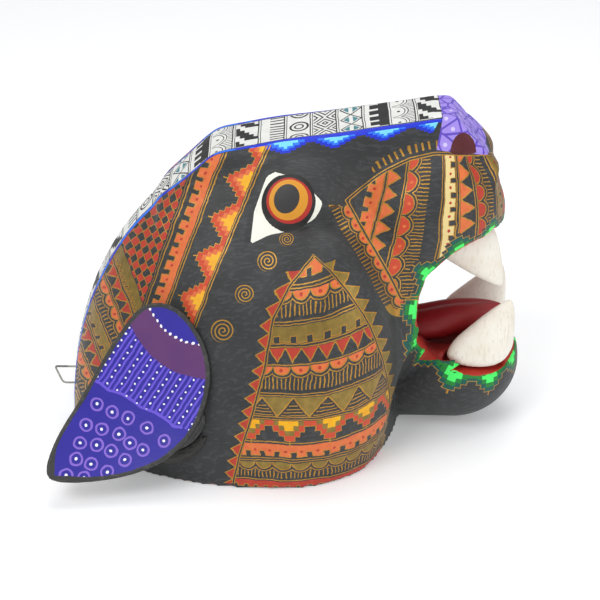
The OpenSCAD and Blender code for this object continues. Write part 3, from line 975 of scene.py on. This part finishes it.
# %% Nose leather and nostril
nose_line = form[:, 0] - (NOSE_BACK - 2.0 - (208 - form[:, 2]) * 0.2)
nose_foot = form[:, 2] - (190 - 0.12 * (form[:, 0] - 90) - 4.0 * np.clip(1 - side_y / 20, 0, 1))
give(head, "nose", (nose_line, nose_foot, form[:, 1]))
nose_a, nose_b, _ = coat.read("nose")
leather = outside * (nose_a > 0) * (nose_b > 0)
cobbles = {"Vector": coat.place(), "Scale": 125.0}
cell_edge = coat.node("ShaderNodeTexVoronoi", {"feature": "DISTANCE_TO_EDGE"}, cobbles)
cell_middle = coat.node("ShaderNodeTexVoronoi", None, cobbles)
hole = coat.length((sheet_a - NOSTRIL_A) / NOSTRIL_HALF[0], (sheet_b - NOSTRIL_B) / NOSTRIL_HALF[1]) < 1
hole = hole * (sheet_b > NOSTRIL_B + 0.2)
print("eye and nose outlined")

# %% Mix every ink into the coat
brush = coat.noise(900.0, 3.0, stretch=(0.16, 1.0, 0.5))
soft = coat.noise(38.0, 3.0)
flecks = coat.noise(1500.0, 2.0)
colour = coat.blend(soft, ink(28, 29, 30), ink(58, 59, 60))
colour = coat.blend(coat.sum("MULTIPLY", brush > 0.56, 0.22), colour, ink(86, 88, 90))
ORDER = ("white", "teal", "black", "blue_deep", "blue", "blue_pale", "ember", "leaf", "cream", "orange",
         "yellow", "red", "green_deep", "green", "green_pale", "gold")
VARY = {"orange": ink(206, 84, 48), "ember": ink(206, 78, 36), "red": ink(160, 44, 30),
        "yellow": ink(228, 150, 30), "leaf": ink(112, 92, 44), "gold": ink(160, 112, 40),
        "white": ink(214, 216, 216), "green": ink(14, 108, 44), "blue": ink(28, 96, 235)}
fade = coat.noise(260.0, 2.0)
for name in ORDER:
    tint = coat.blend(fade, INKS[name], VARY[name]) if name in VARY else INKS[name]
    colour = coat.blend(coat.inks[name], colour, tint)
for name, mask in EYE_COLOURS:
    colour = coat.blend(mask, colour, INKS[name])
colour = coat.blend(leather, colour, INKS["purple"])
colour = coat.blend(leather * (cell_edge > 0.075), colour, INKS["lavender"])
colour = coat.blend(leather * (cell_middle < 0.16), colour, ink(206, 196, 246))
colour = coat.blend(outside * hole, colour, INKS["nostril"])
# Painted shade: the mouth's red darkens the deeper a point lies inside the carving, from 9 to 26 mm in
mouth_shade_share = coat.node("ShaderNodeMapRange", None, {0: depth_mark, 1: 9.0, 2: 26.0})
mouth_red_with_shade = coat.blend(mouth_shade_share, INKS["mouth"], INKS["mouth_painted_shade"])
mouth_red_with_shade = coat.blend(coat.noise(120.0, 3.0) * 0.35, mouth_red_with_shade, ink(140, 34, 28))
colour = coat.blend(1 - outside, colour, mouth_red_with_shade)
bare = coat.blend(coat.noise(200.0, 3.0, stretch=(0.2, 1.0, 1.0)), ink(150, 108, 66), ink(196, 152, 100))
colour = coat.blend((hollow_mark > 0), colour, bare)
rim = (height_mark < 0.6) * (hollow_mark < 0.01)
colour = coat.blend(rim, colour, ink(60, 52, 44))
coat.socket("Base Color", colour)

# %% Sheen and raised lines
metal = coat.most(coat.inks["gold"], coat.inks["leaf"]) * outside * (lid > 1)
coat.socket("Metallic", metal * 0.55)
coat.socket("Roughness", 0.46 + fade * 0.16 - metal * 0.1 + (hollow_mark > 0) * 0.25)
coat.shader.inputs["Specular IOR Level"].default_value = 0.45
paint_height = metal * 0.7 + coat.inks["white"] * 0.2 + brush * 0.45 + soft * 0.4 + flecks * 0.12
coat.relief(paint_height, 0.0005, 0.55)
head.data.materials.append(coat.material)
smooth_shade(head)
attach(head, "mask")
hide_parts("head_shell")
print("head finished with", len(coat.tree.nodes), "nodes")

# %% [markdown]
# ## Ears
# Each ear is a thin dished leaf, carved along the grain and glued over a dowel. A copy of the packed
# ear is remeshed so that its edges are softly rounded, as sandpaper leaves them.

# %% Ear frame and shape
EAR_FACE = unit([-0.05, -0.885, 0.46])
ear_up = unit(np.cross(EAR_FACE, [1, 0, 0]))
ear_right = np.cross(ear_up, EAR_FACE)
EAR_LEAN = math.radians(56)
EAR_X = ear_right * math.cos(EAR_LEAN) + ear_up * math.sin(EAR_LEAN)
EAR_Y = np.cross(EAR_FACE, EAR_X)
EAR_FOOT, EAR_STAND, EAR_DISH, EAR_L, EAR_W = (-95.0, 43.0), 25.0, 7.0, 126.0, 70.0
foot_share = ((EAR_FOOT[0] - CORE[0]) / SKULL[1]) ** 2 + (EAR_FOOT[1] / SKULL[3]) ** 2
skull_side = SKULL[2] * math.sqrt(1 - foot_share)
EAR_AT = np.array([EAR_FOOT[0], -skull_side, EAR_FOOT[1]]) + EAR_FACE * EAR_STAND
EAR_KNOTS = np.array([(-0.5, 0.28), (-0.36, 0.43), (-0.1, 0.47), (0.2, 0.5), (0.42, 0.45), (0.5, 0.2),
                      (0.43, -0.16), (0.28, -0.39), (0.06, -0.49), (-0.16, -0.4), (-0.36, -0.11)])
ear_ring = smooth_line(np.vstack([EAR_KNOTS, EAR_KNOTS[:1]]), 4)[:-1] * (EAR_L, EAR_W)
dish_radius = ((EAR_W * 0.7) ** 2 + EAR_DISH ** 2) / 2 / EAR_DISH


def shape_ear(node, name):
    ear = merged_copy(node, name)
    apply(ear, "REMESH", mode="VOXEL", voxel_size=0.00105, use_smooth_shade=True)
    apply(ear, "SMOOTH", factor=0.5, iterations=2)
    co = points_of(ear)
    p = to_form(co)
    p[:, 1] = -np.abs(p[:, 1])
    v = p - EAR_AT
    a, b, c = v @ EAR_X, v @ EAR_Y, v @ EAR_FACE
    dished = dish_radius - EAR_DISH - np.sqrt(np.maximum(dish_radius ** 2 - a * a - b * b, 1))
    edge, _ = outline_distance(np.stack([a, b], 1), ear_ring)
    give(ear, "leaf", (a, b, edge))
    give(ear, "leaf_depth", (c - dished, c, edge))
    wobble = np.sin(p @ unit([1, 2, 0.5]) * 0.35) * 0.1 + np.sin(p @ unit([2, -1, 1]) * 0.22) * 0.12
    set_points(ear, co + np.outer(wobble * MM, EAR_FACE * [1, np.sign(co[0, 1]) * -1, 1]))
    report(ear)
    return ear


ears = [shape_ear("right_ear", "carved_right_ear"), shape_ear("left_ear", "carved_left_ear")]

# %% [markdown]
# The inside of the ear is deep blue. A plum band crosses its top under a row of white dots, lavender
# stripes hang from it, and rings with white dots fill the tip. The rim and back stay charcoal.

# %% Paint the ears
ear_box = PaintBox("painted_ear_finish")
leaf_a, leaf_b, leaf_edge = ear_box.read("leaf")
leaf_depth, _, _ = ear_box.read("leaf_depth")
shake = ear_box.parts(ear_box.noise(170.0, 1.0, out=1))
leaf_a = leaf_a + (shake[0] - 0.5) * 1.6
leaf_b = leaf_b + (shake[1] - 0.5) * 1.6
bowl = (leaf_depth > -2.0) * (leaf_edge > 2.6 + (shake[2] - 0.5) * 1.2)
cap_line = leaf_a - 48 - (leaf_b - 8) * (leaf_b - 8) * 0.0165
plum_line = leaf_a - 30 - (leaf_b - 3) * (leaf_b - 3) * 0.011
hem_line = leaf_a - 1.2 + leaf_b * 0.1 - abs(ear_box.sum("SINE", leaf_b * 0.14)) * 1.8
STRIPE_PITCH = 7.0
lane = ear_box.fraction(leaf_b / STRIPE_PITCH)
threads = abs(abs(lane - 0.5) - 0.29) < 0.085
strip = (plum_line < 0) * (hem_line > 0)
ear_box.lay("lavender", strip * threads)
ear_box.lay("lavender", (abs(hem_line) < 0.85) * (leaf_b > -28))
beads = ear_box.length((lane - 0.5) * STRIPE_PITCH, (ear_box.fraction(leaf_a / 4.4) - 0.5) * 4.4)
ear_box.lay("white", strip * (beads < 0.62))
string = ear_box.length(cap_line, (ear_box.fraction(leaf_b / 3.6) - 0.5) * 3.6)
ear_box.lay("white", string < 0.85)
RING_PLACES = ((-11.5, 22.7), (-10.5, 12.7), (-8.2, 2.8), (-6.7, -10), (-7.2, -22.9), (-25.4, 21),
               (-22.2, 11.9), (-19, 1.8), (-19.7, -6.7), (-18.7, -15.5), (-36.1, 17.8), (-31.6, 8.9),
               (-29.9, 0), (-29.5, -10), (-45, 14.2), (-42.6, 5.3), (-41.2, -5.3), (-55.7, 13.5),
               (-51.4, 3.8))
for a, b in RING_PLACES:
    far = ear_box.length(leaf_a - a, leaf_b - b)
    ear_box.lay("ring", abs(far - 3.5) < 0.62)
    ear_box.lay("white", far < 0.9)
ear_soft = ear_box.noise(60.0, 3.0)
ear_brush = ear_box.noise(800.0, 3.0, stretch=(0.5, 1.0, 0.18))
inner = ear_box.blend(ear_soft, ink(30, 22, 140), ink(44, 34, 160))
plum = ear_box.blend(ear_soft, ink(76, 38, 104), ink(102, 52, 106))
inner = ear_box.blend((cap_line < 0) * (plum_line > 0), inner, plum)
inner = ear_box.blend(ear_box.inks["lavender"], inner, ink(100, 78, 206))
inner = ear_box.blend(ear_box.inks["ring"], inner, ink(132, 100, 206))
inner = ear_box.blend(ear_box.inks["white"], inner, ink(244, 244, 250))
outer_coat = ear_box.blend(ear_soft, ink(30, 31, 31), ink(60, 61, 60))
outer_coat = ear_box.blend((ear_brush > 0.58) * 0.3, outer_coat, ink(88, 87, 80))
ear_box.socket("Base Color", ear_box.blend(bowl, outer_coat, inner))
ear_box.socket("Roughness", 0.42 + ear_soft * 0.2)
ear_box.relief(ear_brush * 0.5 + ear_box.inks["white"] * 0.6 + ear_box.inks["ring"] * 0.35, 0.0005, 0.6)
for ear, node in zip(ears, ("right_ear", "left_ear")):
    ear.data.materials.append(ear_box.material)
    smooth_shade(ear)
    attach(ear, "mask")
    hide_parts(node)
print("ears painted with", len(ear_box.tree.nodes), "nodes")

# %% [markdown]
# ## Fillers behind the ears
# Where an ear meets the skull, glue mixed with sawdust is pressed into the corner and painted dark.
# A fine remesh and a little noise give the lumpy surface that a finger leaves.

# %% Lumpy fillers
filler_box = PaintBox("glue_filler_finish")
lumps = filler_box.noise(420.0, 4.0)
filler_box.socket("Base Color", filler_box.blend(lumps, ink(20, 20, 20), ink(58, 57, 54)))
filler_box.socket("Roughness", 0.55 + lumps * 0.3)
filler_box.relief(lumps, 0.0012, 0.9)
for node in ("right_ear_filler", "left_ear_filler"):
    bead = merged_copy(node, "pressed_" + node)
    apply(bead, "REMESH", mode="VOXEL", voxel_size=0.0011, use_smooth_shade=True)
    co = points_of(bead)
    p = co / MM
    lump = sum(np.sin(p @ unit(rng.normal(size=3)) * f + rng.uniform(0, 6)) for f in (0.4, 0.7, 1.1, 1.6))
    centre = co.mean(0)
    set_points(bead, co - unit(co - centre) * (0.25 + 0.12 * lump)[:, None] * MM)
    bead.data.materials.append(filler_box.material)
    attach(bead, "mask")
    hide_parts(node)
    report(bead)

# %% [markdown]
# ## Fangs
# A fang is a tapering peg with an oval section, glued into a socket in the gum. A circle is drawn out
# ring by ring as it would be whittled, and two rounds of subdivision take away the facets.

# %% Whittle a peg ring by ring
def whittle(name, rings, tip, sides=20):
    """Rings are (centre, half axis, half axis) as vectors, in millimetres of the carving."""
    bpy.ops.object.select_all(action="DESELECT")
    bpy.ops.mesh.primitive_circle_add(vertices=sides, radius=1, fill_type="NGON")
    peg = bpy.context.active_object
    peg.name = name
    bpy.ops.object.mode_set(mode="EDIT")
    bpy.ops.mesh.select_all(action="SELECT")
    for i in range(len(rings) - 1):
        bpy.ops.mesh.extrude_region_move(TRANSFORM_OT_translate={"value": (0, 0, 1)})
    bpy.ops.mesh.extrude_region_move(TRANSFORM_OT_translate={"value": (0, 0, 1)})
    bpy.ops.mesh.merge(type="CENTER")
    bpy.ops.object.mode_set(mode="OBJECT")
    unit_peg = points_of(peg)
    shaped = np.zeros_like(unit_peg)
    for i, (x, y, z) in enumerate(unit_peg):
        k = int(round(z))
        if k >= len(rings):
            shaped[i] = tip
        else:
            middle, wide, deep_axis = rings[k]
            shaped[i] = np.array(middle) + np.array(wide) * x + np.array(deep_axis) * y
    set_points(peg, to_model(shaped))
    on_whole_mesh(peg, bpy.ops.mesh.normals_make_consistent, inside=False)
    apply(peg, "SUBSURF", levels=2, render_levels=2)
    return peg


fang_box = PaintBox("painted_fang_finish")
wash = fang_box.noise(55.0, 4.0)
strokes = fang_box.noise(700.0, 3.0, stretch=(1.0, 1.0, 0.2))
ivory = fang_box.blend(wash, ink(250, 249, 242), ink(226, 216, 196))
fang_box.socket("Base Color", fang_box.blend((strokes > 0.6) * 0.3, ivory, ink(206, 194, 170)))
fang_box.socket("Roughness", 0.38 + wash * 0.2)
fang_box.relief(strokes * 0.6 + wash, 0.0006, 0.5)
for row, (foot, tip, along_lip, long, root) in FANGS.items():
    for hand_name, flip in (("right", 1), ("left", -1)):
        mirror = np.array([1, flip, 1])
        start, end = np.array(foot, float), np.array(tip, float)
        way, e = unit(end - start), unit(along_lip)
        stages = [(start - way * root, 1.0)]
        stages += [(start + (end - start) * t, (1 - t) ** FANG_SWELL) for t in FANG_STEPS]
        rings_of_fang = [(c * mirror, e * long / 2 * k * mirror, np.array([0, FANG_T / 2 * k, 0]))
                         for c, k in stages]
        fang = whittle(f"whittled_{row}_{hand_name}_fang", rings_of_fang, end * mirror)
        fang.data.materials.append(fang_box.material)
        smooth_shade(fang)
        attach(fang, "mask")
        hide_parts(f"{row}_{hand_name}_fang")
        report(fang)

# %% [markdown]
# ## Tongue
# The tongue is whittled in the same way, lying along the mouth and lifting at its tip. A shallow
# groove is pressed down its middle, and the red varies between lighter and darker patches.

# %% Tongue
TONGUE_T, TONGUE_W = 24.0, 29.0
TONGUE = ((49, 61, 0.8, 1), (58, 61, 0.8, 1), (72, 61.5, 0.85, 1.08), (86, 63.3, 1, 1.08),
          (99, 66, 1, 0.98), (111, 69.5, 0.72, 0.78), (121, 72.6, 0.42, 0.5), (128, 74, 0.16, 0.22))
tongue_rings = [((x, 0, z), (0, 0, -TONGUE_T / 2 * thick), (0, TONGUE_W / 2 * wide, 0))
                for x, z, thick, wide in TONGUE]
tongue = whittle("whittled_tongue", tongue_rings, np.array([131.0, 0, 74.0]), 24)
p = to_form(points_of(tongue))
groove = np.exp(-(p[:, 1] / 3.0) ** 2)
groove = groove * np.clip((p[:, 0] - 60) / 15, 0, 1) * np.clip((126 - p[:, 0]) / 20, 0, 1)
middle_z = np.interp(p[:, 0], [t[0] for t in TONGUE], [t[1] for t in TONGUE])
p[:, 2] -= np.where(p[:, 2] > middle_z, groove * 1.8, 0)
set_points(tongue, to_model(p))
tongue_box = PaintBox("painted_tongue_finish")
pools = tongue_box.noise(90.0, 3.0)
grain = tongue_box.noise(900.0, 3.0, stretch=(0.2, 1.0, 1.0))
tongue_box.socket("Base Color", tongue_box.blend(pools, ink(166, 26, 30), ink(118, 14, 22)))
tongue_box.socket("Roughness", 0.36 + grain * 0.25)
tongue_box.relief(grain * 0.6 + pools, 0.0005, 0.5)
tongue.data.materials.append(tongue_box.material)
smooth_shade(tongue)
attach(tongue, "mask")
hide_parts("tongue")
report(tongue)

# %% [markdown]
# ## Wire and dowels
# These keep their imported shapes. The wire is grey galvanised steel, scratched along its length where
# it was bent, and the dowels are bare wood with end grain, though the ears hide them.

# %% Steel and bare wood
wire_box = PaintBox("steel_wire_finish")
scratch = wire_box.noise(1400.0, 3.0)
wire_box.socket("Base Color", wire_box.blend(scratch, ink(120, 122, 112), ink(196, 198, 186)))
wire_box.socket("Metallic", 0.9)
wire_box.socket("Roughness", 0.28 + scratch * 0.3)
wire_box.relief(scratch, 0.0001, 0.4)
dowel_box = PaintBox("bare_wood_finish")
fibres = dowel_box.noise(500.0, 4.0, stretch=(1.0, 0.1, 1.0))
dowel_box.socket("Base Color", dowel_box.blend(fibres, ink(196, 150, 100), ink(150, 104, 62)))
dowel_box.socket("Roughness", 0.6 + fibres * 0.2)
dowel_box.relief(fibres, 0.0003, 0.5)
for node, paint in (("hanging_wire", wire_box), ("ear_dowels", dowel_box)):
    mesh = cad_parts[node].data
    mesh.materials.clear()
    mesh.materials.append(paint.material)
    print(node, "painted")
